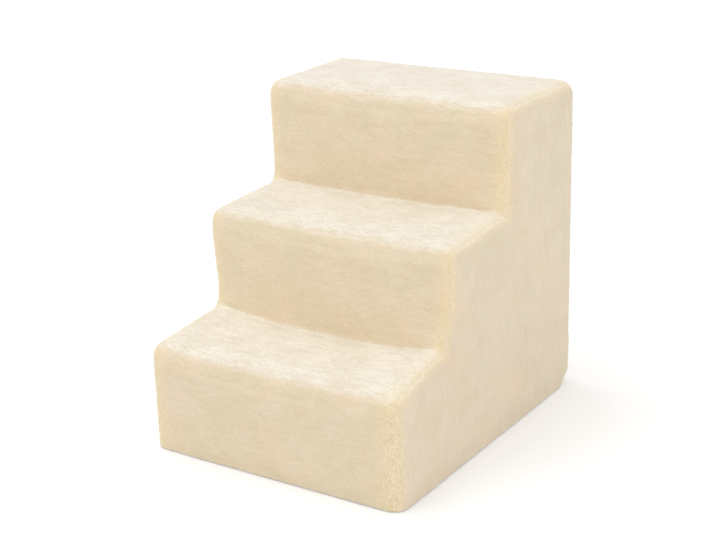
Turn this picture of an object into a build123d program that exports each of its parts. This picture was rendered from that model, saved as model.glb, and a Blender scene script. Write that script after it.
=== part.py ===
"""Three-step foam pet stairs with a zip-off plush cover, in millimetres.

The origin is on the floor under the middle of the stairs. +Z is up, +X is to
the right as the pet climbs, the lowest step faces -Y and the back faces +Y.
"""

import os

from build123d import *

os.makedirs("parts", exist_ok=True)

# Stairs over the cover
stair_width = 400
rise = 153
lower_tread = 144
middle_tread = 151
top_tread = 200
side_edge_radius = 18.5
nose_fullness = 3
cove_radius = 8
core_bevel = 8

# Layers from the outside in
plush_thickness = 9
cover_ease = 0.3
liner_thickness = 1
liner_ease = 0.3

# Base panel with its moulded grip dots
base_fabric = 2
base_setback = 1
dot_height = 1.2
dot_diameter = 8
dot_sides = 8
dot_pitch = 48
dot_margin = 28

# Zip across the back
zip_height = 45
tape_thickness = 0.8
tape_reach = 19
tape_edge = 2.1
tooth_pitch = 5
tooth_thickness = 2.4
tooth_foot = 3.4
tooth_overlap = 1.05
tooth_gap = 0.16
neck_height = 0.7
neck_relief = 0.32
head_height = 0.25
tip_relief = 0.5
first_tooth_lead = 3.75
stop_length = 4
stop_thickness = 3.4
stop_margin = 10
lip_clearance = 1.2

# Slider and pull tab
slider_length = 17
slider_gap = 0.7
slider_corner = 1.5
tail_run = 3.5
spread_run = 7.5
blade_thickness = 1.2
flange_thickness = 0.8
running_clearance = 0.3
wedge_half_width = 1.3
wedge_lead = 1.9
wedge_nose = 3.6
arch_length = 7
arch_width = 1.8
arch_thickness = 0.9
arch_round = 0.7
bar_diameter = 1.4
bar_clearance = 0.25
arm_clearance = 0.4
arm_width = 1
pull_length = 28
pull_width = 6.5
pull_thickness = 1.2
pull_clearance = 3
plate_corner = 0.6
plate_end_flat = 0.4
eye_length = 9
eye_width = 2

# Places worked out from the sizes
depth = lower_tread + middle_tread + top_tread
front_y = -depth / 2
back_y = depth / 2
riser_2_y = front_y + lower_tread
riser_3_y = riser_2_y + middle_tread
nose_radius = side_edge_radius + nose_fullness
base_top = dot_height + base_fabric
liner_inset = plush_thickness + cover_ease
foam_inset = liner_inset + liner_thickness + liner_ease
side_seam_x = stair_width / 2 - plush_thickness
back_seam_y = back_y - plush_thickness

# Depths of the zip's layers, outwards from the inner face of the cover
inner_blade_y = back_seam_y + slider_gap
teeth_inner_y = inner_blade_y + blade_thickness + running_clearance
teeth_outer_y = teeth_inner_y + tooth_thickness
teeth_mid_y = (teeth_inner_y + teeth_outer_y) / 2
tape_inner_y = teeth_mid_y - tape_thickness / 2
tape_outer_y = teeth_mid_y + tape_thickness / 2
blade_face_y = teeth_outer_y + running_clearance + blade_thickness
pivot_y = blade_face_y + bar_clearance + bar_diameter / 2

# Places along the zip, which is closed at its +X end
top_stop_x = side_seam_x - stop_margin - stop_length
slider_x = top_stop_x - tooth_gap - slider_length / 2
bottom_stop_x = pull_length + pull_clearance - slider_length / 2 - side_seam_x
slider_travel = slider_x - bottom_stop_x - tooth_gap - slider_length / 2
tail_x = slider_x - slider_length / 2
mouth_x = slider_x + slider_length / 2
spread_start_x = tail_x + tail_run
spread_end_x = spread_start_x + spread_run
full_spread = tooth_overlap + wedge_half_width + tooth_gap
tail_half_width = tooth_foot + running_clearance + flange_thickness
lip_half_gap = tail_half_width + full_spread + lip_clearance
head_half_width = (tooth_pitch / 2 - tooth_gap) / 2


def corners_in(sketch, corners):
    """The vertices of a sketch that lie on the given corners."""
    reach = 0.01
    return [
        v
        for v in sketch.vertices()
        if any(abs(v.X - x) < reach and abs(v.Y - y) < reach for x, y in corners)
    ]


def stair_block(inset, floor, rounded=False):
    """Solid stairs, moved in from the outer surface and standing at a height.

    The cover is rounded along its edges; what it hides is cut with bevels.
    """
    front, back = front_y + inset, back_y - inset
    step_2, step_3 = riser_2_y + inset, riser_3_y + inset
    low, middle, top = [rise * step - inset for step in (1, 2, 3)]
    coves = [(step_2, low), (step_3, middle)]
    noses = [(front, low), (step_2, middle), (step_3, top), (back, top)]
    with BuildPart() as block:
        with BuildSketch(Plane.YZ) as outline:
            with BuildLine():
                Polyline(
                    (front, floor),
                    noses[0],
                    coves[0],
                    noses[1],
                    coves[1],
                    noses[2],
                    noses[3],
                    (back, floor),
                    close=True,
                )
            make_face()
            if rounded:
                fillet(corners_in(outline, noses), nose_radius)
                fillet(corners_in(outline, coves), cove_radius)
            else:
                chamfer(corners_in(outline, noses), core_bevel)
        extrude(amount=stair_width / 2 - inset, both=True)
        rims = block.faces().filter_by(Axis.X).edges()
        above_floor = rims.filter_by(lambda edge: edge.center().Z > floor + cove_radius)
        if rounded:
            fillet(above_floor, side_edge_radius)
        else:
            chamfer(above_floor, core_bevel)
    return block.part


cover_outside = stair_block(0, base_top, rounded=True)
cover_inside = stair_block(plush_thickness, dot_height)
liner_outside = stair_block(liner_inset, base_top)
liner_inside = stair_block(liner_inset + liner_thickness, base_top + liner_thickness)
foam_core = stair_block(foam_inset, base_top + liner_thickness)


# Foam core: three slabs glued one on another at the treads
glue_heights = [rise - foam_inset, 2 * rise - foam_inset]

with BuildPart() as foam_base_block:
    add(foam_core)
    split(bisect_by=Plane.XY.offset(glue_heights[0]), keep=Keep.BOTTOM)
foam_base_block.part.label = "foam_base_block"
export_step(foam_base_block.part, "parts/foam_base_block.step")

with BuildPart() as foam_middle_block:
    add(foam_core)
    split(bisect_by=Plane.XY.offset(glue_heights[0]), keep=Keep.TOP)
    split(bisect_by=Plane.XY.offset(glue_heights[1]), keep=Keep.BOTTOM)
foam_middle_block.part.label = "foam_middle_block"
export_step(foam_middle_block.part, "parts/foam_middle_block.step")

with BuildPart() as foam_top_block:
    add(foam_core)
    split(bisect_by=Plane.XY.offset(glue_heights[1]), keep=Keep.TOP)
foam_top_block.part.label = "foam_top_block"
export_step(foam_top_block.part, "parts/foam_top_block.step")


# Inner liner: a thin closed bag round the foam
with BuildPart() as inner_liner:
    add(liner_outside)
    add(liner_inside, mode=Mode.SUBTRACT)
inner_liner.part.label = "inner_liner"
export_step(inner_liner.part, "parts/inner_liner.step")


# Side panels of the cover, each sewn to the others along one plane
for side, hand in ((-1, "left"), (1, "right")):
    with BuildPart() as side_panel:
        add(cover_outside)
        split(
            bisect_by=Plane.YZ.offset(side * side_seam_x),
            keep=Keep.TOP if side > 0 else Keep.BOTTOM,
        )
    side_panel.part.label = f"side_panel_{hand}"
    export_step(side_panel.part, f"parts/side_panel_{hand}.step")


# Step strip: one length of plush down all treads and risers
with BuildPart() as step_strip:
    add(cover_outside)
    add(cover_inside, mode=Mode.SUBTRACT)
    split(bisect_by=Plane.YZ.offset(side_seam_x), keep=Keep.BOTTOM)
    split(bisect_by=Plane.YZ.offset(-side_seam_x), keep=Keep.TOP)
    split(bisect_by=Plane.XZ.offset(-back_seam_y), keep=Keep.TOP)
step_strip.part.label = "step_strip"
export_step(step_strip.part, "parts/step_strip.step")


def zip_plane(y):
    """A plane across the zip with its local y up, facing into the stairs."""
    return Plane(origin=(0, y, zip_height), x_dir=(1, 0, 0), z_dir=(0, -1, 0))


def spread(x):
    """How far each row of teeth has moved off the centre line at a place."""
    return full_spread * min(max((x - spread_start_x) / spread_run, 0), 1)


def zip_tape(side):
    """One tape, whose edge leaves the centre line inside the slider."""
    with BuildPart() as tape:
        with BuildSketch(zip_plane(tape_outer_y)):
            with BuildLine():
                Polyline(
                    (-side_seam_x, side * tape_edge),
                    (spread_start_x, side * tape_edge),
                    (spread_end_x, side * (tape_edge + full_spread)),
                    (side_seam_x, side * (tape_edge + full_spread)),
                    (side_seam_x, side * tape_reach),
                    (-side_seam_x, side * tape_reach),
                    close=True,
                )
            make_face()
        extrude(amount=tape_thickness)
    return tape.part


tapes = {"upper": zip_tape(1), "lower": zip_tape(-1)}
for row, tape in tapes.items():
    tape.label = f"zip_tape_{row}"
    export_step(tape, f"parts/zip_tape_{row}.step")


# Back panels of the cover, above and below the zip, hemmed over its tapes
for row, side in (("upper", 1), ("lower", -1)):
    with BuildPart() as back_panel:
        add(cover_outside)
        split(bisect_by=Plane.XZ.offset(-back_seam_y), keep=Keep.BOTTOM)
        split(bisect_by=Plane.YZ.offset(side_seam_x), keep=Keep.BOTTOM)
        split(bisect_by=Plane.YZ.offset(-side_seam_x), keep=Keep.TOP)
        split(
            bisect_by=Plane.XY.offset(zip_height + side * lip_half_gap),
            keep=Keep.TOP if side > 0 else Keep.BOTTOM,
        )
        add(tapes[row], mode=Mode.SUBTRACT)
    back_panel.part.label = f"back_panel_{row}"
    export_step(back_panel.part, f"parts/back_panel_{row}.step")


# Base panel: rubberised fabric with grip dots moulded on its underside
dots_across = 2 * int((stair_width / 2 - dot_margin) / dot_pitch) + 1
dots_along = 2 * int((depth / 2 - dot_margin) / dot_pitch) + 1

with BuildPart() as base_panel:
    with BuildSketch(Plane.XY.offset(dot_height)):
        RectangleRounded(
            stair_width - 2 * base_setback,
            depth - 2 * base_setback,
            side_edge_radius - base_setback,
        )
    extrude(amount=base_fabric)
    with BuildSketch(Plane.XY):
        with GridLocations(dot_pitch, dot_pitch, dots_across, dots_along):
            RegularPolygon(dot_diameter / 2, dot_sides)
    extrude(amount=dot_height)
base_panel.part.label = "base_panel"
export_step(base_panel.part, "parts/base_panel.step")


def tooth_outline(side):
    """A tooth seen from behind the stairs: foot, neck and wider head."""
    neck_half_width = head_half_width - neck_relief
    half = [
        (head_half_width, tooth_foot),
        (neck_half_width, neck_height),
        (head_half_width, -head_height),
        (head_half_width - tip_relief, -tooth_overlap),
    ]
    points = half + [(-x, height) for x, height in reversed(half)]
    return [(x, side * height) for x, height in points]


# Teeth, each gripping the edge of its tape, the two rows half a pitch apart
for row, side, lag in (("upper", 1, 0), ("lower", -1, tooth_pitch / 2)):
    first_x = slider_x + first_tooth_lead - lag
    count = int((first_x - bottom_stop_x - tooth_gap - head_half_width) / tooth_pitch) + 1
    places = [first_x - number * tooth_pitch for number in range(count)]
    with BuildPart() as teeth:
        with BuildSketch(zip_plane(teeth_outer_y)):
            with Locations(*[(x, side * spread(x)) for x in places]):
                Polygon(*tooth_outline(side), align=None)
        extrude(amount=tooth_thickness)
        add(tapes[row], mode=Mode.SUBTRACT)
    teeth.part.label = f"zip_teeth_{row}"
    export_step(teeth.part, f"parts/zip_teeth_{row}.step")


# Stops that end the slider's travel
stop_face_y = teeth_mid_y + stop_thickness / 2

with BuildPart() as zip_top_stops:
    with BuildSketch(zip_plane(stop_face_y)):
        for side in (1, -1):
            inner = wedge_half_width + tooth_gap
            outer = tooth_foot + full_spread
            with Locations((top_stop_x + stop_length / 2, side * (inner + outer) / 2)):
                Rectangle(stop_length, outer - inner)
    extrude(amount=stop_thickness)
    for tape in tapes.values():
        add(tape, mode=Mode.SUBTRACT)
zip_top_stops.part.label = "zip_top_stops"
export_step(zip_top_stops.part, "parts/zip_top_stops.step")

with BuildPart() as zip_bottom_stop:
    with BuildSketch(zip_plane(stop_face_y)):
        with Locations((bottom_stop_x - stop_length / 2, 0)):
            Rectangle(stop_length, 2 * (tooth_foot + running_clearance))
    extrude(amount=stop_thickness)
    for tape in tapes.values():
        add(tape, mode=Mode.SUBTRACT)
zip_bottom_stop.part.label = "zip_bottom_stop"
export_step(zip_bottom_stop.part, "parts/zip_bottom_stop.step")


def slider_outline(tail, overrun):
    """Half widths of the slider or its channel, wider towards the +X end."""
    upper = [
        (tail_x - overrun, tail),
        (spread_start_x - head_half_width, tail),
        (spread_end_x - head_half_width, tail + full_spread),
        (mouth_x + overrun, tail + full_spread),
    ]
    return upper + [(x, -half) for x, half in reversed(upper)]


# Slider: two blades joined by the wedge, with flanges round the teeth
with BuildPart() as zip_slider:
    for face_y in (blade_face_y, inner_blade_y + blade_thickness):
        with BuildSketch(zip_plane(face_y)) as blade:
            Polygon(*slider_outline(tail_half_width, 0), align=None)
            fillet(blade.vertices().group_by(Axis.X)[0], slider_corner)
            fillet(blade.vertices().group_by(Axis.X)[-1], slider_corner)
        extrude(amount=blade_thickness)
    flange_faces = (
        (teeth_outer_y + running_clearance, tape_outer_y + running_clearance),
        (tape_inner_y - running_clearance, teeth_inner_y - running_clearance),
    )
    for outer_y, inner_y in flange_faces:
        with BuildSketch(zip_plane(outer_y)) as flange:
            Polygon(*slider_outline(tail_half_width, 0), align=None)
            fillet(flange.vertices().group_by(Axis.X)[0], slider_corner)
            fillet(flange.vertices().group_by(Axis.X)[-1], slider_corner)
            Polygon(
                *slider_outline(tail_half_width - flange_thickness, 1),
                align=None,
                mode=Mode.SUBTRACT,
            )
        extrude(amount=outer_y - inner_y)
    wedge_x = spread_end_x - wedge_lead
    with BuildSketch(zip_plane(teeth_outer_y + running_clearance)):
        with BuildLine():
            Polyline(
                (wedge_x, 0),
                (wedge_x + wedge_nose, wedge_half_width),
                (mouth_x, wedge_half_width),
                (mouth_x, -wedge_half_width),
                (wedge_x + wedge_nose, -wedge_half_width),
                close=True,
            )
        make_face()
    extrude(amount=tooth_thickness + 2 * running_clearance)
    arch_height = bar_diameter + 2 * bar_clearance + arch_thickness
    with BuildSketch(Plane.XY.offset(zip_height)) as arch:
        with Locations((slider_x, blade_face_y + arch_height / 2)):
            Rectangle(arch_length, arch_height)
        fillet(arch.vertices().group_by(Axis.Y)[-1], arch_round)
        with Locations((slider_x, blade_face_y + (arch_height - arch_thickness) / 2)):
            Rectangle(
                arch_length - 2 * arch_thickness,
                arch_height - arch_thickness,
                mode=Mode.SUBTRACT,
            )
    extrude(amount=arch_width / 2, both=True)
zip_slider.part.label = "zip_slider"
export_step(zip_slider.part, "parts/zip_slider.step")


# Pull tab: two arms and a bar under the arch, then a plate with an eye
arm_inner = arch_width / 2 + arm_clearance
plate_start = (arch_length / 2) + bar_diameter / 2 + bar_clearance
plate_x = slider_x - plate_start
pull_end_x = slider_x - pull_length

with BuildPart() as zip_pull:
    with BuildSketch(zip_plane(pivot_y + pull_thickness / 2)) as plate:
        with Locations(((plate_x + pull_end_x) / 2, 0)):
            Rectangle(plate_x - pull_end_x, pull_width)
        fillet(plate.vertices().group_by(Axis.X)[0], (pull_width - plate_end_flat) / 2)
        fillet(plate.vertices().group_by(Axis.X)[-1], plate_corner)
        with Locations((pull_end_x + pull_width / 2 + eye_length / 2, 0)):
            SlotOverall(eye_length, eye_width, mode=Mode.SUBTRACT)
        for side in (1, -1):
            with Locations(((plate_x + slider_x) / 2, side * (arm_inner + arm_width / 2))):
                Rectangle(plate_start, arm_width)
    extrude(amount=pull_thickness)
    with BuildSketch(Plane.XY.offset(zip_height)):
        with Locations((slider_x, pivot_y)):
            Circle(bar_diameter / 2)
    extrude(amount=arm_inner + arm_width, both=True)
zip_pull.part.label = "zip_pull"
export_step(zip_pull.part, "parts/zip_pull.step")

print("slider travel", round(slider_travel, 2), "pivot", round(slider_x, 2), round(pivot_y, 2))
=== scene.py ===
"""Foam pet stairs in a cream plush cover: the looks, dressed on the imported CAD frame.

Everything is in metres in the CAD's own frame: +X across the steps, +Y from
the lowest step to the back, +Z up, with the floor at zero.
"""

import math

import bpy
import numpy as np
from mathutils import Matrix, Vector


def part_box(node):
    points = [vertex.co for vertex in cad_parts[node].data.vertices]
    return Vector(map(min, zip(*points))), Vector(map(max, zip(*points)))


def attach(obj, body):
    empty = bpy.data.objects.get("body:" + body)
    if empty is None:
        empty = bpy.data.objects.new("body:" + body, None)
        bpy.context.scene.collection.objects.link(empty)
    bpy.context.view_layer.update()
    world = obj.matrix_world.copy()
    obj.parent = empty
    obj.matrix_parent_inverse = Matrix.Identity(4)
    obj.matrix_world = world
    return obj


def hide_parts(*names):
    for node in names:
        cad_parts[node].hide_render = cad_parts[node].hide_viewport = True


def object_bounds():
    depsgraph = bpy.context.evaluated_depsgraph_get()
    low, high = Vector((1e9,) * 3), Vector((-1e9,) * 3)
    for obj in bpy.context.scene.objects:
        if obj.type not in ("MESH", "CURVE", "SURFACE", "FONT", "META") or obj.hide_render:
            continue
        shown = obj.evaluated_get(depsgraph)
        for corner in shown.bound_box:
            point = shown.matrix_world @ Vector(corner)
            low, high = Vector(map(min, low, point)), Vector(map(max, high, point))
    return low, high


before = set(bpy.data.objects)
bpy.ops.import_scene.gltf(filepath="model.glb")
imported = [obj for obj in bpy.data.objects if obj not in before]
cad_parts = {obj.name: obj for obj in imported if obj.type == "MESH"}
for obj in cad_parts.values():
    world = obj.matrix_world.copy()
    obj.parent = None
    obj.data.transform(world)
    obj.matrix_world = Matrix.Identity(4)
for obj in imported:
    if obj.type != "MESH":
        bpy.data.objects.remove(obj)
cad_low, cad_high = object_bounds()
half_width, back_y, top_z = cad_high
front_y = cad_low.y

# Camera, matched to the photograph's viewpoint
image_width_px, focal_px = 716, 1524.55
sensor_width = 36
camera_yaw, camera_pitch, camera_roll = 33.5, 19.24, -1.7
camera_place = (1.1002, -1.6867, 0.9196)

# Seams, taken from where the CAD panels meet
side_seam_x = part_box("step_strip")[1].x
back_seam_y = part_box("step_strip")[1].y
cover_floor_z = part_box("step_strip")[0].z
slot_low_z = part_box("back_panel_lower")[1].z
slot_high_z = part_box("back_panel_upper")[0].z

# Steps of the cover, which lies the same depth outside each foam slab
foam_nodes = ("foam_base_block", "foam_middle_block", "foam_top_block")
cover_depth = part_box(foam_nodes[0])[0].y - front_y
riser_places = [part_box(node)[0].y - cover_depth for node in foam_nodes]
tread_heights = [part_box(node)[1].z + cover_depth for node in foam_nodes]
tread_ends = [*riser_places[1:], back_y]
tread_depths = [end - start for start, end in zip(riser_places, tread_ends)]

# Distances at which points count as one, and a length that keeps divisions safe
weld_distance, cut_threshold, tiny = 1e-5, 1e-6, 1e-9

# Cover: the closed form that it starts as
cover_nodes = (
    "step_strip",
    "side_panel_left",
    "side_panel_right",
    "back_panel_upper",
    "back_panel_lower",
)
cover_grid, lowest_band = 0.0045, 1e-4
closing_low_z = -0.02
closing_overlap_x, closing_overlap_z = 0.001, 0.002

# Cover: how the cloth swells between its seams, and its inner face
swelling_frames, swelling_quality, swelling_pressure = 12, 4, 4
hem_band, seam_hold, seam_hold_reach, least_hold = 0.008, 0.6, 0.008, 0.001
foam_hold, crown_limit = 0.85, 0.003
cover_inner_depth = 0.006

# Cover: the soft turn over the foam's side edges, which fades towards the back
turn_width, turn_ramp, turn_rounds = 0.035, 0.02, 12
turn_back_gap, turn_back_fade = 0.04, 0.10

# Cover: layers of unevenness as name, size, depth of detail, height and stretch
pile_layers = (
    ("slack", 0.07, 2, 0.0016, (1, 1, 1)),
    ("waves", 0.018, 2, 0.0009, (2.6, 1, 1)),
    ("clumps", 0.007, 1, 0.0007, (1.5, 1, 1)),
    ("pile", 0.0035, 1, 0.0006, (1, 1, 1)),
)
curl_size, curl_depth, curl_height, curl_reach = 0.005, 2, 0.0012, 0.010
seam_pinch, seam_pinch_reach = 0.0004, 0.003
plush_smooth = 65

# Cover: hems, and the lower back corners, where it is drawn in under the foam
front_hem_z, side_hem_z = 0.0020, 0.0018
tuck_radius, tuck_height, cover_corner = 0.050, 0.026, 0.0095

# Ends of the two inner corners: how far the cover is drawn in and bridges up there.
# Reaches are across, along and up, each on the lower side and on the higher.
corner_draws, corner_lifts = (0.010, 0.003), (0.016, 0.006)
draw_reaches = ((0.030, 0.030), (0.090, 0.042), (0.050, 0.070))
lift_reaches = ((0.080, 0.080), (0.090, 0.030), (0.035, 0.035))
lift_forwards = 0.5

# Foam and liner
foam_grid, foam_rounds = 0.006, 2
liner_grid, liner_wall = 0.008, 0.0008

# Base fabric and its grip dots
base_low_z, base_wall, base_inset = 0.0012, 0.002, 0.0066
base_cut = (2 * (half_width - base_inset), 2 * (back_y - base_inset))
base_back_corner, base_back_segments = tuck_radius - base_inset, 10
base_front_corner, base_front_segments = 0.009, 6
base_hem = 0.008
hem_groove_width, hem_groove_depth = 0.0012, 0.0004
dot_radius, dot_pitch, dot_round, dot_sides = 0.004, 0.048, 0.0009, 14
dot_columns, dot_rows = range(-3, 4), range(-4, 5)

# Zip tapes, the strip behind them and the stitches along the slot
tape_soft_edge, guard_soft_edge, flat_angle = 0.00018, 0.00015, math.radians(2)
guard_height, guard_wall, guard_gap, guard_tuck = 0.021, 0.0005, 0.0002, 0.002
stitch_length, stitch_pitch, stitch_radius = 0.0026, 0.0034, 0.00032
stitch_from_slot, stitch_from_seam, stitch_proud = 0.0045, 0.006, 0.0004

# Light
floor_size, floor_grey, floor_glow, air_light = 14, 0.86, 0.20, 0.80
sun_angle, sun_power, sun_direction = 40, 0.64, (1.8, 0.2, -4.6)
softboxes = (
    ("front_softbox", (-1.7, -2.4, 1.5), 1.8, 10),
    ("right_softbox", (2.6, -0.6, 1.1), 1.6, 10),
)
softbox_aim = (0, 0, 0.2)

# Plush: patterns in cells a metre, and how far the yellower edge reaches, a band that is partly a painted
# highlight
strip_rows, side_rows = (110, 420, 420), (420, 420, 90)
rows_in_clump = 3
tuft_cells, curl_cells = (380, 380, 380), (340, 340, 200)
drift_cells, blush_cells = (22, 22, 30), (17, 13, 15)
strip_halo, side_halo, front_halo = 0.034, 0.015, 0.008
front_band = (front_y + 0.025, front_y + 0.055)

# Weaves: warp and weft threads, in radians a metre
grip_threads, tape_threads = (4200, 4200), (9000, 5200)

# Colours, linear
# The side cream is the riser cream made greyer and cooler: painted cooler light on the side and back
# panels
riser_cream, painted_cool_side_cream = (0.81, 0.68, 0.485), (0.795, 0.68, 0.52)
pale_cream, deep_cream = (0.87, 0.77, 0.60), (0.70, 0.56, 0.38)
# Painted top light: the paler creams for the pile that faces up
painted_top_pale, painted_top_deep = (0.92, 0.86, 0.75), (0.80, 0.715, 0.58)
peach_cream, olive_cream = (0.86, 0.68, 0.50), (0.75, 0.66, 0.45)
# Yellow and pale edge creams: partly the opened pile's colour, partly a painted highlight
warm_edge_and_highlight = (0.94, 0.755, 0.43)
pale_edge_and_highlight, edge_fleck = (0.95, 0.86, 0.65), (0.55, 0.41, 0.23)
sheen_cream = (1.0, 0.97, 0.92, 1)
foam_pale, foam_yellow = (0.86, 0.80, 0.58), (0.80, 0.71, 0.46)
liner_white, liner_shade = (0.86, 0.86, 0.83), (0.76, 0.76, 0.73)
grip_dark, grip_light = (0.030, 0.030, 0.033), (0.062, 0.062, 0.066)
rubber_dark, rubber_light = (0.020, 0.020, 0.022), (0.045, 0.045, 0.048)
tape_dark, tape_light = (0.62, 0.52, 0.39), (0.78, 0.69, 0.55)
thread_dark, thread_light = (0.74, 0.64, 0.48), (0.86, 0.78, 0.63)
tooth_dark, tooth_light = (0.62, 0.53, 0.40), (0.74, 0.66, 0.53)
enamel_dark, enamel_light = (0.58, 0.49, 0.36), (0.72, 0.63, 0.49)


# Handling


def select_only(*pieces):
    """Selects these pieces and nothing else, with the first one active."""
    bpy.ops.object.select_all(action="DESELECT")
    for piece in pieces:
        piece.select_set(True)
    bpy.context.view_layer.objects.active = pieces[0]


def in_edit_mode(piece, *steps):
    """Runs steps in edit mode on one piece with everything in it selected."""
    select_only(piece)
    bpy.ops.object.mode_set(mode="EDIT")
    bpy.ops.mesh.select_all(action="SELECT")
    for step in steps:
        step()
    bpy.ops.object.mode_set(mode="OBJECT")


def copy_of(piece, name):
    """A second piece with its own mesh."""
    twin = bpy.data.objects.new(name, piece.data.copy())
    bpy.context.scene.collection.objects.link(twin)
    return twin


def welded(piece):
    """Merges a piece's doubled vertices, as a CAD copy's loose triangles have them."""
    in_edit_mode(piece, lambda: bpy.ops.mesh.remove_doubles(threshold=weld_distance))


def bare_copy(node, name):
    """A copy of a CAD node with no material on it."""
    twin = copy_of(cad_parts[node], name)
    twin.data.materials.clear()
    return twin


def joined(name, pieces):
    """One piece made of several."""
    select_only(*pieces)
    bpy.ops.object.join()
    whole = bpy.context.active_object
    whole.name = whole.data.name = name
    return whole


def modified(piece, kind, **settings):
    """Adds a modifier with these settings and applies it."""
    modifier = piece.modifiers.new(kind.lower(), kind)
    for setting, value in settings.items():
        setattr(modifier, setting, value)
    select_only(piece)
    bpy.ops.object.modifier_apply(modifier=modifier.name)


def points_of(piece):
    """The places of a piece's vertices, one row each."""
    flat = np.empty(len(piece.data.vertices) * 3, np.float32)
    piece.data.vertices.foreach_get("co", flat)
    return flat.reshape(-1, 3).astype(float)


def normals_of(piece):
    """The outward directions at a piece's vertices."""
    flat = np.empty(len(piece.data.vertices) * 3, np.float32)
    piece.data.vertex_normals.foreach_get("vector", flat)
    return flat.reshape(-1, 3).astype(float)


def move_points(piece, places):
    """Puts a piece's vertices in new places."""
    piece.data.vertices.foreach_set("co", places.astype(np.float32).ravel())
    piece.data.update()


def settled():
    """Puts the new primitive's place, turn and size in its mesh, and returns it."""
    bpy.ops.object.transform_apply(location=True, rotation=True, scale=True)
    return bpy.context.active_object


def block(name, low, high):
    """A box between two corners, as a start for a piece."""
    low, high = Vector(low), Vector(high)
    bpy.ops.mesh.primitive_cube_add(size=1, location=(low + high) / 2, scale=high - low)
    box = settled()
    box.name = box.data.name = name
    return box


def copies_at(piece, places):
    """Copies of a piece moved by each of these offsets, in place of the piece."""
    copies = []
    for place in places:
        twin = copy_of(piece, "copy")
        move_points(twin, points_of(twin) + np.array(place))
        copies.append(twin)
    bpy.data.objects.remove(piece)
    return copies


def bevelled_at(piece, chosen, radius, segments, affect="VERTICES"):
    """Bevels the corners or edges of a piece that a test picks by place."""
    select_only(piece)
    bpy.ops.object.mode_set(mode="EDIT")
    bpy.ops.mesh.select_mode(type="VERT")
    bpy.ops.mesh.select_all(action="DESELECT")
    bpy.ops.object.mode_set(mode="OBJECT")
    for vertex in piece.data.vertices:
        vertex.select = chosen(vertex.co)
    bpy.ops.object.mode_set(mode="EDIT")
    bpy.ops.mesh.bevel(offset=radius, segments=segments, affect=affect)
    bpy.ops.object.mode_set(mode="OBJECT")


def softened(piece, radius):
    """Bevels all the edges of a piece a little."""
    in_edit_mode(piece, lambda: bpy.ops.mesh.bevel(offset=radius, segments=2))


def dressed(piece, material, material_slot, *nodes, smooth=40):
    """Finishes a piece: material, smooth shading, its body and what it replaces."""
    select_only(piece)
    bpy.ops.object.shade_smooth_by_angle(angle=math.radians(smooth))
    piece.data.materials.append(material)
    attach(piece, "stairs")
    if nodes:
        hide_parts(*nodes)


# Finishes


class Value:
    """A number that varies over a surface, so that shader maths reads as Python."""

    def __init__(self, finish, socket):
        self.finish, self.socket = finish, socket

    def __add__(self, other):
        return self.finish.maths("ADD", self, other)

    def __sub__(self, other):
        return self.finish.maths("SUBTRACT", self, other)

    def __mul__(self, other):
        return self.finish.maths("MULTIPLY", self, other)

    def __rsub__(self, other):
        return self.finish.maths("SUBTRACT", other, self)

    __radd__, __rmul__ = __add__, __mul__

    def swing(self, size):
        """How far it swings to either side of one half, at this size."""
        return (self - 0.5) * size

    def rise(self, low, high):
        """0 up to low, 1 from high on, and smooth between them."""
        return self.finish.node(
            "ShaderNodeMapRange",
            {"interpolation_type": "SMOOTHSTEP"},
            Value=self,
            From_Min=low,
            From_Max=high,
        )


class Finish:
    """One material: its nodes, and the shader on its surface."""

    def __init__(self, name, **constants):
        self.material = bpy.data.materials.new(name)
        self.material.use_nodes = True
        self.tree = self.material.node_tree
        self.shader = self.tree.nodes["Principled BSDF"]
        for socket, value in constants.items():
            self.shader.inputs[socket.replace("_", " ")].default_value = value

    def node(self, kind, settings=None, output=0, **inputs):
        """A node with its settings, its inputs given as numbers or values."""
        made = self.tree.nodes.new(kind)
        for setting, value in (settings or {}).items():
            setattr(made, setting, value)
        for name, value in inputs.items():
            self.feed(self.socket(made, name), value)
        return Value(self, made.outputs[output])

    def socket(self, node, name):
        """A node's enabled input by its name, or by its number as in_0."""
        if name.startswith("in_"):
            return node.inputs[int(name[3:])]
        title = name.replace("_", " ")
        return next(s for s in node.inputs if s.name == title and s.enabled)

    def feed(self, socket, value):
        """Links a value to a socket, or sets it on the socket."""
        if isinstance(value, Value):
            self.tree.links.new(value.socket, socket)
        elif isinstance(value, tuple) and len(value) == 3 and socket.type == "RGBA":
            socket.default_value = (*value, 1)
        else:
            socket.default_value = value

    def maths(self, operation, *values):
        """One Math node."""
        inputs = {f"in_{k}": value for k, value in enumerate(values)}
        return self.node("ShaderNodeMath", {"operation": operation}, **inputs)

    def blend(self, share, first, second):
        """A colour between two colours."""
        return self.node(
            "ShaderNodeMix",
            {"data_type": "RGBA"},
            output=2,
            Factor=share,
            A=first,
            B=second,
        )

    def place(self, stretch=(1, 1, 1)):
        """Object coordinates, stretched for a pattern with a grain."""
        here = self.node("ShaderNodeTexCoord", output="Object")
        return self.node("ShaderNodeMapping", Vector=here, Scale=stretch)

    def across(self, axis):
        """One of the object coordinates as a number."""
        return self.node("ShaderNodeSeparateXYZ", output=axis, Vector=self.place())

    def noise(self, stretch, detail=2, roughness=0.5, distortion=0.0):
        """Cloudy noise from 0 to 1, with a grain set by stretch, in cells a metre."""
        return self.node(
            "ShaderNodeTexNoise",
            Vector=self.place(stretch),
            Scale=1.0,
            Detail=detail,
            Roughness=roughness,
            Distortion=distortion,
        )

    def surface(self, height=None, strength=1.0, depth=0.001, **inputs):
        """Feeds the shader, with a bump from height if one is given."""
        for name, value in inputs.items():
            self.feed(self.socket(self.shader, name), value)
        if height is not None:
            bump = self.node("ShaderNodeBump", Height=height, Strength=strength, Distance=depth)
            self.feed(self.shader.inputs["Normal"], bump)
        return self.material


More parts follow.
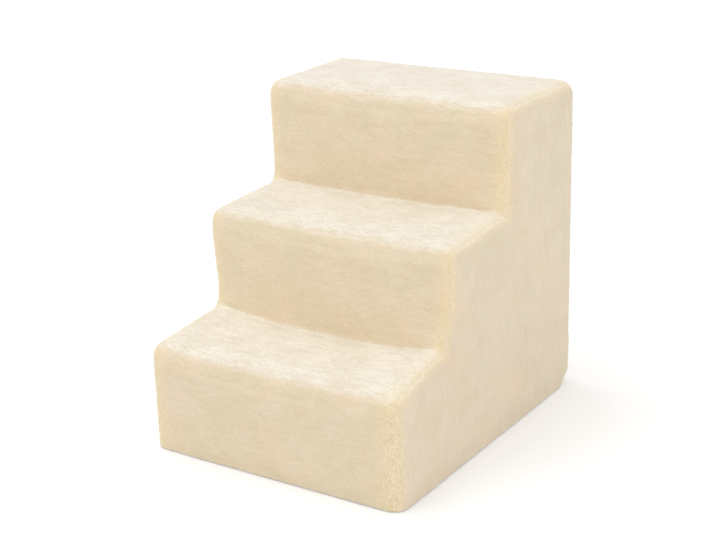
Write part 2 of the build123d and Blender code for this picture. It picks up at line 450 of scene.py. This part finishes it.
def plush(name, rows, cream, halo):
    """Short cream pile, combed along the rows of its knitted backing.

    rows stretches the streaks: fewer cells a metre along the rows than across.
    halo is how far the yellower, opened pile reaches from the side edges; this band is partly the pile's
    own colour and partly a painted highlight.
    """
    pile = Finish(
        name,
        Roughness=0.92,
        Sheen_Weight=0.45,
        Sheen_Roughness=0.45,
        Sheen_Tint=sheen_cream,
        Specular_IOR_Level=0.15,
    )
    clump_cells = tuple(cells / rows_in_clump for cells in rows)
    streaks = pile.noise(rows, detail=3, roughness=0.65, distortion=0.4)
    tufts = pile.noise(tuft_cells, detail=3, roughness=0.7, distortion=0.8)
    clumps = pile.noise(clump_cells, detail=3, roughness=0.65, distortion=0.8)
    drifts = pile.noise(drift_cells, detail=2)
    blushes = pile.noise(blush_cells, detail=3, roughness=0.6, distortion=0.6)
    curls = pile.noise(curl_cells, detail=3, roughness=0.7, distortion=1.2)

    grain = streaks.swing(1.5) + tufts.swing(1.8)
    tone = 0.5 + grain + clumps.swing(1.5) + drifts.swing(1.0)
    body = pile.blend(tone.rise(0.0, 1.0), deep_cream, pale_cream)
    body = pile.blend(0.62, body, cream)
    body = pile.blend(blushes.rise(0.52, 0.68) * 0.45, body, peach_cream)
    body = pile.blend((1 - blushes.rise(0.34, 0.50)) * 0.45, body, olive_cream)

    # Painted light: the pile that faces up is painted paler and less warm, as the overhead light falls on
    # it, with a fuzzy border
    facing = pile.node("ShaderNodeNewGeometry", output="Normal")
    upward = pile.node("ShaderNodeSeparateXYZ", output="Z", Vector=facing)
    ragged = upward + clumps.swing(0.25) + tufts.swing(0.25)
    painted_top_light = ragged.rise(0.45, 1.0)
    painted_top_light_tone = pile.blend(tone.rise(0.05, 0.95), painted_top_deep, painted_top_pale)
    body = pile.blend(painted_top_light, body, painted_top_light_tone)

    # The pile opens along the side edges: a yellow halo round a pale, curly ridge, partly the opened
    # pile's own colour and partly a painted highlight on the rounded edges
    fuzz = clumps.swing(0.014) + tufts.swing(0.010)
    from_edge = fuzz + pile.node(
        "ShaderNodeAttribute", {"attribute_name": "from_side_edge"}, output="Fac"
    )
    front = 1 - pile.across("Y").rise(*front_band)
    glow = (1 - from_edge.rise(0.0, front * front_halo + halo)) * (1 - painted_top_light * 0.45)
    ridge = 1 - from_edge.rise(-0.002, 0.010)
    body = pile.blend(glow * 0.60, body, warm_edge_and_highlight)
    body = pile.blend(ridge * (0.65 - front * 0.30), body, pale_edge_and_highlight)
    open_pile = glow * (0.75 + front * 0.40)
    light_curls = curls.rise(0.50, 0.62) * open_pile
    dark_curls = (1 - curls.rise(0.38, 0.50)) * open_pile
    body = pile.blend(light_curls * 0.65, body, pale_edge_and_highlight)
    body = pile.blend(dark_curls * 0.34, body, edge_fleck)

    height = streaks * 0.4 + tufts * 0.7 + clumps * 0.5 + curls * open_pile * 1.2
    return pile.surface(height, strength=0.5, depth=0.0014, Base_Color=body)


def foam_cells():
    """Open-cell foam, cream and faintly yellowed."""
    foam = Finish("foam_cells", Roughness=0.95, Sheen_Weight=0.15)
    cells = foam.node(
        "ShaderNodeTexVoronoi",
        {"feature": "SMOOTH_F1"},
        Vector=foam.place((600, 600, 600)),
        Scale=1.0,
    )
    tone = foam.blend(foam.noise((14, 14, 14), detail=3), foam_pale, foam_yellow)
    return foam.surface(cells, strength=0.6, depth=0.0008, Base_Color=tone)


def nonwoven():
    """Thin white nonwoven, spot-bonded in a small square grid."""
    cloth = Finish("nonwoven", Roughness=0.8, Sheen_Weight=0.2)
    fibres = cloth.noise((260, 260, 260), detail=4, distortion=3)
    bonds = cloth.node(
        "ShaderNodeTexVoronoi",
        {"feature": "F1", "distance": "CHEBYCHEV"},
        Vector=cloth.place((450, 450, 450)),
        Scale=1.0,
        Randomness=0.1,
    )
    tone = cloth.blend(fibres, liner_white, liner_shade)
    height = fibres * 0.4 + bonds * 0.6
    return cloth.surface(height, strength=0.5, depth=0.0004, Base_Color=tone)


def woven(name, dark, light, warp, weft):
    """Plain woven cloth: threads along two axes, from sine waves."""
    cloth = Finish(name, Roughness=0.8, Sheen_Weight=0.2)
    across = cloth.maths("SINE", cloth.across("X") * warp)
    along = cloth.maths("SINE", cloth.across("Y") * weft + cloth.across("Z") * weft)
    weave = across * along * 0.5 + 0.5
    wear = cloth.noise((60, 60, 60), detail=3)
    tone = cloth.blend(weave * 0.7 + wear * 0.3, dark, light)
    return cloth.surface(weave, strength=0.6, depth=0.0003, Base_Color=tone)


def moulded(name, dark, light, roughness, coat=0.0):
    """Moulded or enamelled parts, with faint mottling and rubbed patches."""
    part = Finish(name, Coat_Weight=coat)
    mottle = part.noise((900, 900, 900), detail=3)
    rubbed = part.noise((160, 160, 160), detail=4)
    tone = part.blend(mottle * 0.5 + rubbed * 0.5, dark, light)
    return part.surface(
        mottle * 0.6 + rubbed * 0.4,
        strength=0.25,
        depth=0.0002,
        Base_Color=tone,
        Roughness=roughness + rubbed.swing(0.25),
    )


# Cover


def fading(distance, reach):
    """1 at no distance, and falling off smoothly past about this reach."""
    return np.exp(-((distance / reach) ** 2))


def cover_form():
    """The whole cover as one closed form with an even grid.

    It starts from copies of the CAD panels, closed across the zip and below the
    floor, so the seams and the lower hem are cut later where the CAD has them.
    """
    panels = []
    for node in cover_nodes:
        start = bare_copy(node, node + "_start")
        places = points_of(start)
        places[places[:, 2] < cover_floor_z + lowest_band, 2] = closing_low_z
        move_points(start, places)
        panels.append(start)
    wall = half_width - side_seam_x
    closing = block(
        "zip_closing",
        (-side_seam_x - closing_overlap_x, back_seam_y, slot_low_z - closing_overlap_z),
        (side_seam_x + closing_overlap_x, back_y, slot_high_z + closing_overlap_z),
    )
    floor = block(
        "floor_closing",
        (cad_low.x + wall / 2, front_y + wall / 2, closing_low_z),
        (half_width - wall / 2, back_y - wall / 2, closing_low_z + wall),
    )
    form = joined("cover_form", [*panels, closing, floor])
    welded(form)
    modified(form, "REMESH", mode="VOXEL", voxel_size=cover_grid)
    return form


def largest_shell(form):
    """Keeps the outer surface only, if the remesh left anything inside."""
    in_edit_mode(form, lambda: bpy.ops.mesh.separate(type="LOOSE"))
    shells = sorted(bpy.context.selected_objects, key=lambda o: len(o.data.vertices))
    for inner in shells[:-1]:
        bpy.data.objects.remove(inner)
    return shells[-1]


def from_seams(places):
    """How far each point lies from the nearest seam of the cover."""
    side = np.abs(np.abs(places[:, 0]) - side_seam_x)
    back = np.abs(places[:, 1] - back_seam_y)
    back[np.abs(places[:, 0]) > side_seam_x] = 1
    return np.minimum(side, back)


def from_side_edges(places):
    """How far each point lies, over the surface, from the cover's side edges."""
    corners = [(front_y, 0.0)]
    for riser, tread in zip(riser_places, tread_heights):
        corners += [(riser, corners[-1][1]), (riser, tread)]
    corners += [(back_y, top_z), (back_y, 0.0)]
    depth = np.full(len(places), 1.0)
    for start, end in zip(corners, corners[1:]):
        outside = [
            np.maximum(min(a, b) - places[:, axis], places[:, axis] - max(a, b)).clip(0)
            for axis, a, b in zip((1, 2), start, end)
        ]
        depth = np.minimum(depth, np.hypot(*outside))
    return np.maximum(half_width - np.abs(places[:, 0]), depth)


def hold_group(piece, name, weights):
    """A vertex group that holds one weight for each vertex."""
    group = piece.vertex_groups.new(name=name)
    for index in np.flatnonzero(weights > least_hold):
        group.add([int(index)], float(weights[index]), "REPLACE")


def drawn_over_foam(form):
    """The sewn cover swells a little between its seams, as a simulated cloth."""
    rest, out = points_of(form), normals_of(form)
    hem = rest[:, 2] < cover_floor_z + hem_band
    sewn = seam_hold * fading(from_seams(rest), seam_hold_reach)
    hold_group(form, "held", np.where(hem, 1.0, sewn))
    cloth = form.modifiers.new("swelling", "CLOTH")
    cloth.settings.quality = swelling_quality
    cloth.settings.use_pressure = True
    cloth.settings.uniform_pressure_force = swelling_pressure
    cloth.settings.effector_weights.gravity = 0
    cloth.settings.vertex_group_mass = "held"
    cloth.point_cache.frame_end = swelling_frames
    for step in range(1, swelling_frames + 1):
        bpy.context.scene.frame_set(step)
    select_only(form)
    bpy.ops.object.modifier_apply(modifier="swelling")
    bpy.context.scene.frame_set(1)
    moved = points_of(form) - rest
    outwards = (moved * out).sum(axis=1, keepdims=True)
    moved -= out * np.minimum(outwards, 0) * foam_hold
    reach = np.linalg.norm(moved, axis=1, keepdims=True)
    eased = crown_limit * np.tanh(reach / crown_limit)
    move_points(form, rest + moved * eased / np.maximum(reach, tiny))


def eased_over_edges(form):
    """Rounds the cover where it turns over the foam's side edges."""
    before = points_of(form)
    turn_x, turn_y = half_width - turn_width, back_y - turn_back_gap
    near = np.clip((np.abs(before[:, 0]) - turn_x) / turn_ramp, 0, 1)
    near *= np.clip((turn_y - before[:, 1]) / turn_back_fade, 0, 1)
    modified(form, "SMOOTH", factor=0.5, iterations=turn_rounds)
    move_points(form, before + (points_of(form) - before) * near[:, None])


def tucked_under(piece):
    """Rounds the lower back corners, where the cover is drawn in under the foam."""
    places = points_of(piece)
    across = np.abs(places[:, 0]) - (half_width - tuck_radius)
    along = places[:, 1] - (back_y - tuck_radius)
    reach = np.maximum(np.hypot(across, along), tiny)
    flat = tuck_radius * reach / np.maximum(np.maximum(across, along), tiny)
    inset = tuck_radius - cover_corner
    aim = inset * (across + along) / reach
    rounded = aim + np.sqrt(np.maximum(aim**2 - 2 * inset**2 + cover_corner**2, 0))
    on_corner = np.minimum(across, along) * rounded / reach > inset
    corner = np.where(on_corner, rounded, flat) - tuck_radius
    low = np.clip((tuck_height - places[:, 2]) / tuck_height, 0, 1) ** 2
    shift = np.where((across > 0) & (along > 0), low * corner / reach, 0)
    places[:, 0] -= shift * across * np.sign(places[:, 0])
    places[:, 1] -= shift * along
    move_points(piece, places)


def nearness(away, reaches):
    """1 at a place, fading along each axis by the reaches before and past it."""
    near = 1.0
    for distance, (before, past) in zip(away, reaches):
        near = near * fading(distance, np.where(distance < 0, before, past))
    return near


def drawn_in(piece):
    """Draws the cover in, and its fold up, at the ends of each inner corner."""
    places = points_of(piece)
    side = np.sign(places[:, 0])
    from_side = np.abs(places[:, 0]) - half_width
    for riser, tread, draw, lift in zip(riser_places[1:], tread_heights, corner_draws, corner_lifts):
        away = (from_side, places[:, 1] - riser, places[:, 2] - tread)
        fold = lift * nearness(away, lift_reaches)
        places[:, 0] -= side * draw * nearness(away, draw_reaches)
        places[:, 1] -= lift_forwards * fold
        places[:, 2] += fold
    move_points(piece, places)


def clouds(name, size, depth):
    """A soft cloud texture for displacement, size in metres."""
    texture = bpy.data.textures.new(name, "CLOUDS")
    texture.noise_scale = size
    texture.noise_depth = depth
    texture.noise_type = "SOFT_NOISE"
    return texture


def raised(piece, texture, strength, stretch=(1, 1, 1), share=None):
    """Displaces a piece along its normals by a texture, stretched by a grain.

    share, one number for each vertex, lets only part of the piece follow.
    """
    before = points_of(piece)
    grain = bpy.data.objects.new("grain", None)
    grain.scale = stretch
    bpy.context.scene.collection.objects.link(grain)
    bpy.context.view_layer.update()
    modified(
        piece,
        "DISPLACE",
        texture=texture,
        texture_coords="OBJECT",
        texture_coords_object=grain,
        strength=strength,
        mid_level=0.5,
    )
    bpy.data.objects.remove(grain)
    if share is not None:
        move_points(piece, before + (points_of(piece) - before) * share[:, None])


def with_pile(form):
    """Slack, waves, clumps and pile on the cover's outer surface, and curls at its seams."""
    modified(form, "SUBSURF", levels=1, render_levels=1)
    for name, size, depth, height, stretch in pile_layers:
        raised(form, clouds(name, size, depth), height, stretch=stretch)
    places, out = points_of(form), normals_of(form)
    seam = from_seams(places)
    open_pile = fading(seam, curl_reach)
    raised(form, clouds("curls", curl_size, curl_depth), curl_height, share=open_pile)
    pinch = seam_pinch * fading(seam, seam_pinch_reach)
    move_points(form, points_of(form) - out * pinch[:, None])


def cover_shell(form):
    """Gives the cover its inner face: a plainer skin under the outer one."""
    inner = copy_of(form, "cover_inner")
    places, out = points_of(inner), normals_of(inner)
    places -= out * cover_inner_depth
    move_points(inner, places)
    in_edit_mode(inner, bpy.ops.mesh.flip_normals)
    with_pile(form)
    return joined("cover_shell", [form, inner])


def cut(piece, point, towards):
    """Cuts off what lies beyond a plane, and closes the cut."""
    in_edit_mode(
        piece,
        lambda: bpy.ops.mesh.bisect(
            plane_co=point,
            plane_no=towards,
            use_fill=True,
            clear_outer=True,
            threshold=cut_threshold,
        ),
    )


def panel(shell, name, node, material, cuts):
    """One panel of the cover, cut from the shell along its seams."""
    piece = copy_of(shell, name)
    for point, towards in cuts:
        cut(piece, point, towards)
    in_edit_mode(piece, bpy.ops.mesh.quads_convert_to_tris)
    layer = piece.data.attributes.new("from_side_edge", "FLOAT", "POINT")
    distance = from_side_edges(points_of(piece))
    layer.data.foreach_set("value", distance.astype(np.float32))
    tucked_under(piece)
    drawn_in(piece)
    dressed(piece, material, "plush", node, smooth=plush_smooth)
    return piece


def cover_panels():
    """The five panels of the plush cover."""
    form = largest_shell(cover_form())
    drawn_over_foam(form)
    eased_over_edges(form)
    shell = cover_shell(form)

    strip_plush = plush("strip_plush", strip_rows, riser_cream, strip_halo)
    # The side and back panels' plush carries the painted cooler light in its cream
    side_plush = plush("side_plush", side_rows, painted_cool_side_cream, side_halo)

    # Cuts: a point on each plane, and which way from it is cut off
    sides = [((-side_seam_x, 0, 0), (-1, 0, 0)), ((side_seam_x, 0, 0), (1, 0, 0))]
    right_of_left = ((-side_seam_x, 0, 0), (1, 0, 0))
    left_of_right = ((side_seam_x, 0, 0), (-1, 0, 0))
    behind_seam = ((0, back_seam_y, 0), (0, 1, 0))
    before_seam = ((0, back_seam_y, 0), (0, -1, 0))
    under_slot = ((0, 0, slot_high_z), (0, 0, -1))
    over_slot = ((0, 0, slot_low_z), (0, 0, 1))
    hem = ((0, 0, front_hem_z), (0, 0, -1))
    side_hem = ((0, 0, side_hem_z), (0, 0, -1))

    width, run = 2 * side_seam_x, sum(tread_depths) + top_z
    profile = (back_y - front_y, top_z)
    profile_area = sum(depth * height for depth, height in zip(tread_depths, tread_heights))
    upper, lower = (width, top_z - slot_high_z), (width, slot_low_z)
    for name, node, material, cuts, flat, area in (
        ("step_strip", "step_strip", strip_plush, [hem, *sides, behind_seam], (width, run), None),
        ("side_left", "side_panel_left", side_plush, [right_of_left, side_hem], profile, profile_area),
        ("side_right", "side_panel_right", side_plush, [left_of_right, side_hem], profile, profile_area),
        ("back_upper", "back_panel_upper", side_plush, [before_seam, *sides, under_slot], upper, None),
        ("back_lower", "back_panel_lower", side_plush, [before_seam, *sides, over_slot, hem], lower, None),
    ):
        piece = panel(shell, "cover_" + name, node, material, cuts)
    bpy.data.objects.remove(shell)


# Layers inside


def foam_slabs():
    """Three slabs of firm foam, soft along their cut edges."""
    cells = foam_cells()
    for node in foam_nodes:
        slab = bare_copy(node, node.replace("_block", "_slab"))
        welded(slab)
        modified(slab, "REMESH", mode="VOXEL", voxel_size=foam_grid)
        modified(slab, "SMOOTH", factor=0.5, iterations=foam_rounds)
        tucked_under(slab)
        drawn_in(slab)
        dressed(slab, cells, "foam", node)


def liner_bag():
    """The thin bag between the foam and the cover."""
    bag = bare_copy("inner_liner", "liner_bag")
    welded(bag)
    modified(bag, "REMESH", mode="VOXEL", voxel_size=liner_grid)
    bag = largest_shell(bag)
    bag.name = bag.data.name = "liner_bag"
    tucked_under(bag)
    drawn_in(bag)
    modified(bag, "SOLIDIFY", thickness=liner_wall, offset=-1)
    dressed(bag, nonwoven(), "liner", "inner_liner")


def base_fabric():
    """The anti-slip fabric under the stairs: a hemmed sheet with rounded corners."""
    bpy.ops.mesh.primitive_plane_add(size=1, location=(0, 0, base_low_z + base_wall))
    bpy.context.active_object.scale = (*base_cut, 1)
    sheet = settled()
    sheet.name = sheet.data.name = "base_fabric"
    bevelled_at(sheet, lambda co: co.y > 0, base_back_corner, base_back_segments)
    bevelled_at(sheet, lambda co: co.y < 0, base_front_corner, base_front_segments)
    in_edit_mode(
        sheet,
        lambda: bpy.ops.mesh.inset(thickness=base_hem, depth=0),
        lambda: bpy.ops.mesh.inset(thickness=hem_groove_width, depth=-hem_groove_depth),
    )
    modified(sheet, "SOLIDIFY", thickness=base_wall, offset=-1)
    dressed(sheet, woven("grip_weave", grip_dark, grip_light, *grip_threads), "grip_fabric", "base_panel")
    return sheet


def grip_dots():
    """Rubber dots, domed and flattened where they meet the floor."""
    bpy.ops.mesh.primitive_cylinder_add(
        vertices=dot_sides,
        radius=dot_radius,
        depth=base_low_z,
        location=(0, 0, base_low_z / 2),
    )
    dot = settled()
    bevelled_at(dot, lambda co: co.z < weld_distance, dot_round, 3, affect="EDGES")
    places = [(column * dot_pitch, row * dot_pitch, 0) for column in dot_columns for row in dot_rows]
    grip = joined("grip_dots", copies_at(dot, places))
    dressed(grip, moulded("grip_rubber", rubber_dark, rubber_light, roughness=0.6), "grip_fabric")
    return grip


# Zip


def zip_tapes(cloth):
    """Two woven tapes with softened edges."""
    for row in ("upper", "lower"):
        node = "zip_tape_" + row
        tape = bare_copy(node, "tape_" + row)
        welded(tape)
        in_edit_mode(tape, lambda: bpy.ops.mesh.dissolve_limited(angle_limit=flat_angle))
        softened(tape, tape_soft_edge)
        dressed(tape, cloth, "zip_tape", node)


def zip_guard(cloth):
    """The strip of fabric behind the whole zip, between it and the liner."""
    middle = (slot_low_z + slot_high_z) / 2
    reach = side_seam_x + guard_tuck
    behind_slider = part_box("zip_slider")[0].y - guard_gap
    guard = block(
        "zip_guard",
        (-reach, behind_slider - guard_wall, middle - guard_height / 2),
        (reach, behind_slider, middle + guard_height / 2),
    )
    softened(guard, guard_soft_edge)
    dressed(guard, cloth, "zip_tape")


def zip_stitches():
    """A row of stitches along each lip of the zip's slot."""
    bpy.ops.mesh.primitive_uv_sphere_add(segments=6, ring_count=5, radius=1)
    bpy.context.active_object.rotation_euler = (0, math.radians(90), 0)
    bpy.context.active_object.scale = (stitch_radius, stitch_radius, stitch_length / 2)
    stitch = settled()
    count = int(2 * (side_seam_x - stitch_from_seam) / stitch_pitch)
    heights = (slot_high_z + stitch_from_slot, slot_low_z - stitch_from_slot)
    places = [
        ((number - (count - 1) / 2) * stitch_pitch, back_y + stitch_proud, z)
        for z in heights
        for number in range(count)
    ]
    rows = joined("zip_stitches", copies_at(stitch, places))
    dressed(rows, moulded("cream_thread", thread_dark, thread_light, roughness=0.7), "zip_tape")


def zip_hardware():
    """Finishes for the zip's moulded and cast CAD pieces."""
    resin = moulded("tooth_resin", tooth_dark, tooth_light, roughness=0.38)
    enamel = moulded("cream_enamel", enamel_dark, enamel_light, roughness=0.3, coat=0.4)
    for node, kind, finish in (
        ("zip_teeth_upper", "zip_teeth", resin),
        ("zip_teeth_lower", "zip_teeth", resin),
        ("zip_top_stops", "zip_teeth", resin),
        ("zip_bottom_stop", "zip_teeth", resin),
        ("zip_slider", "zip_metal", enamel),
        ("zip_pull", "zip_metal", enamel),
    ):
        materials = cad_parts[node].data.materials
        materials.clear()
        materials.append(finish)


# Scene


def seen_directly(tree):
    """1 for rays from the camera, and for those mirrored or let through, else 0."""
    rays = tree.nodes.new("ShaderNodeLightPath")
    seen = rays.outputs["Is Camera Ray"]
    for other in ("Is Glossy Ray", "Is Transmission Ray"):
        either = tree.nodes.new("ShaderNodeMath")
        either.operation = "MAXIMUM"
        tree.links.new(seen, either.inputs[0])
        tree.links.new(rays.outputs[other], either.inputs[1])
        seen = either.outputs[0]
    return seen


def studio_floor():
    """A pale floor that glows a little where the camera sees it."""
    bpy.ops.mesh.primitive_plane_add(size=floor_size, location=(0, 0, 0))
    floor = bpy.context.active_object
    floor.name = "studio_floor"
    ground = Finish("studio_floor", Roughness=0.9, Specular_IOR_Level=0.1)
    glow = Value(ground, seen_directly(ground.tree)) * floor_glow
    ground.shader.inputs["Base Color"].default_value = (floor_grey, floor_grey, floor_grey, 1)
    ground.shader.inputs["Emission Color"].default_value = (1, 1, 1, 1)
    floor.data.materials.append(ground.surface(Emission_Strength=glow))


def studio_air():
    """White all round where the camera sees it, and a softer light on the object."""
    world = bpy.data.worlds.new("studio_air")
    world.use_nodes = True
    bpy.context.scene.world = world
    tree = world.node_tree
    light, seen = tree.nodes["Background"], seen_directly(tree)
    level = tree.nodes.new("ShaderNodeMapRange")
    level.inputs["To Min"].default_value = air_light
    level.inputs["To Max"].default_value = 1.0
    tree.links.new(seen, level.inputs["Value"])
    light.inputs["Color"].default_value = (1, 1, 1, 1)
    tree.links.new(level.outputs["Result"], light.inputs["Strength"])


def aimed(thing, direction):
    """Links a light's object to the scene and points it in a direction."""
    thing.rotation_euler = Vector(direction).to_track_quat("-Z", "Y").to_euler()
    bpy.context.scene.collection.objects.link(thing)


def studio_lights():
    """A broad sun from overhead, and two softboxes."""
    sun = bpy.data.lights.new("overhead_sun", "SUN")
    sun.angle = math.radians(sun_angle)
    sun.energy = sun_power
    aimed(bpy.data.objects.new("overhead_sun", sun), sun_direction)
    for name, place, size, power in softboxes:
        lamp = bpy.data.lights.new(name, "AREA")
        lamp.size = size
        lamp.energy = power
        stand = bpy.data.objects.new(name, lamp)
        stand.location = place
        aimed(stand, Vector(softbox_aim) - Vector(place))


def camera():
    """The camera at the photograph's place and angle."""
    lens = bpy.data.cameras.new("camera")
    lens.sensor_width = sensor_width
    lens.lens = focal_px / image_width_px * sensor_width
    stand = bpy.data.objects.new("camera", lens)
    turn = Matrix.Rotation(math.radians(camera_yaw), 4, "Z")
    tilt = Matrix.Rotation(math.radians(90 - camera_pitch), 4, "X")
    roll = Matrix.Rotation(math.radians(camera_roll), 4, "Z")
    stand.matrix_world = Matrix.Translation(camera_place) @ turn @ tilt @ roll
    bpy.context.scene.collection.objects.link(stand)
    bpy.context.scene.camera = stand


bpy.context.scene.view_settings.view_transform = "Standard"
studio_floor()
studio_air()
studio_lights()
camera()

cover_panels()
foam_slabs()
liner_bag()
fabric, dots = base_fabric(), grip_dots()
tape_cloth = woven("tape_weave", tape_dark, tape_light, *tape_threads)
zip_tapes(tape_cloth)
zip_guard(tape_cloth)
zip_stitches()
zip_hardware()
